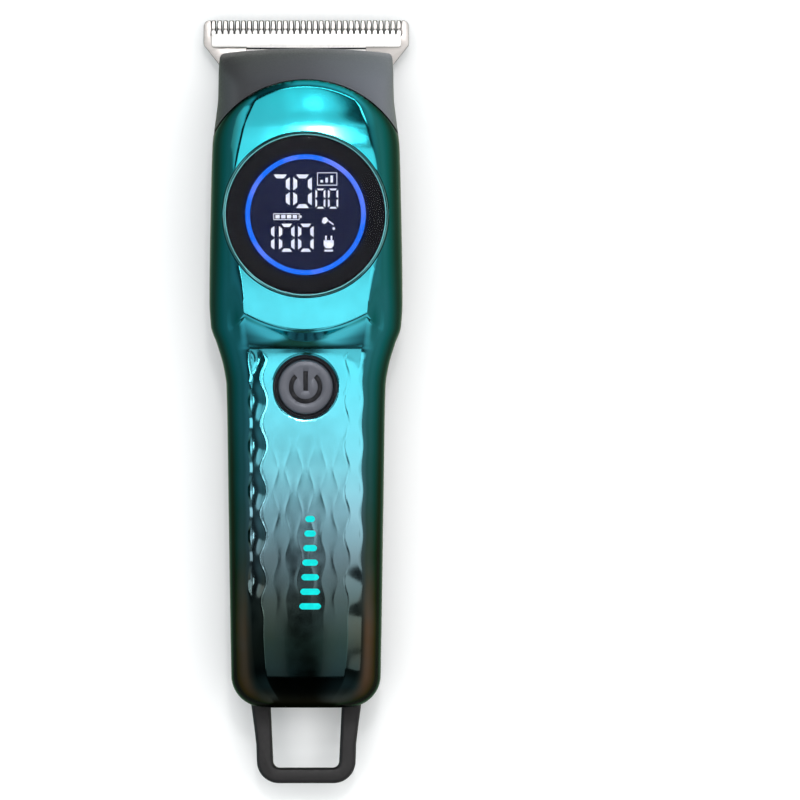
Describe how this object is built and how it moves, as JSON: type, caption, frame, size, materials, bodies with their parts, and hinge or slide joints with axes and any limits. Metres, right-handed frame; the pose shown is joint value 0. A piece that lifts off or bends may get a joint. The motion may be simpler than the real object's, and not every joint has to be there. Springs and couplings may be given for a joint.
{
  "type": "hair clipper",
  "caption": "Cordless T-blade hair clipper with a plated front cover, round display, power button, rotary motor drive, rechargeable cell and a pivoting hanging loop.",
  "frame": {"origin": "middle of the clipper's bounding box, on the plane of its flat back", "axes": "+Y from the hanging loop to the teeth, +Z out of the display side, +X to the right when looking at the display with the teeth up"},
  "size_m": [0.0412, 0.153, 0.0344],
  "materials": {
    "plated_teal": "vacuum plated, tinted teal at the head fading to blue-black at the lower end, mirror gloss",
    "satin_grey": "satin dark grey",
    "satin_black": "fine satin texture",
    "dark_glass": "clear gloss window over a black display",
    "blue_light": "lit blue light guide",
    "black_plastic": "moulded",
    "white_plastic": "moulded acetal",
    "polished_steel": "polished",
    "brushed_steel": "ground",
    "board_green": "solder mask",
    "nickel": "nickel plated",
    "magnet_black": "sintered",
    "copper_core": "enamelled copper on steel",
    "cell_blue": "shrink sleeve over a steel can",
    "lead_red": "insulated lead",
    "lead_black": "insulated lead"
  },
  "bodies": {
    "housing": {"front_cover": "plated_teal", "rear_cover": "satin_black", "head_frame": "satin_grey", "housing_screw_1": "brushed_steel", "housing_screw_2": "brushed_steel", "housing_screw_3": "brushed_steel", "housing_screw_4": "brushed_steel", "display_bezel": "plated_teal", "display_lens": "dark_glass", "light_ring": "blue_light", "display_module": "black_plastic", "display_board": "board_green", "display_cable": "white_plastic", "button_gasket": "black_plastic", "switch_body": "black_plastic", "main_board": "board_green", "controller_chip": "black_plastic", "board_connector": "white_plastic", "charge_board": "board_green", "usb_shell": "nickel", "usb_tongue": "black_plastic", "battery_cell": "cell_blue", "battery_tab_front": "nickel", "battery_tab_rear": "nickel", "battery_lead_red": "lead_red", "battery_lead_black": "lead_black", "charge_lead": "lead_red", "motor_can": "brushed_steel", "motor_end_cap": "white_plastic", "motor_magnet_left": "magnet_black", "motor_magnet_right": "magnet_black", "motor_screw_left": "brushed_steel", "motor_screw_right": "brushed_steel", "motor_lead_red": "lead_red", "motor_lead_black": "lead_black", "fixed_blade": "brushed_steel", "blade_spring": "brushed_steel", "blade_screw_left": "brushed_steel", "blade_screw_right": "brushed_steel", "loop_pin": "polished_steel"},
    "rotor": {"rotor_core": "copper_core", "commutator": "copper_core", "motor_shaft": "polished_steel", "eccentric_cam": "brushed_steel", "crank_pin": "polished_steel"},
    "cutter": {"moving_blade": "polished_steel", "cam_follower": "white_plastic"},
    "button": {"power_button": "satin_grey"},
    "plunger": {"switch_plunger": "white_plastic"},
    "loop": {"hanging_loop": "satin_black"}
  },
  "joints": [
    {"name": "motor_spin", "type": "hinge", "parent": "housing", "child": "rotor", "pos_m": [0, 0.03, 0.0155], "axis": [0, 1, 0], "continuous": true},
    {"name": "blade_stroke", "type": "slide", "parent": "housing", "child": "cutter", "axis": [1, 0, 0], "range_m": [-0.0011, 0.0011]},
    {"name": "power_press", "type": "slide", "parent": "housing", "child": "button", "axis": [0, 0, -1], "range_m": [0, 0.0005], "stiffness_N_per_m": 800, "springref_m": -0.0005},
    {"name": "plunger_press", "type": "slide", "parent": "housing", "child": "plunger", "axis": [0, 0, -1], "range_m": [0, 0.0005]},
    {"name": "loop_swing", "type": "hinge", "parent": "housing", "child": "loop", "pos_m": [0, -0.057, 0.009], "axis": [-1, 0, 0], "range_deg": [-20, 35]}
  ],
  "couplings": [
    {"joint": "plunger_press", "follows": "power_press", "ratio": 1}
  ]
}
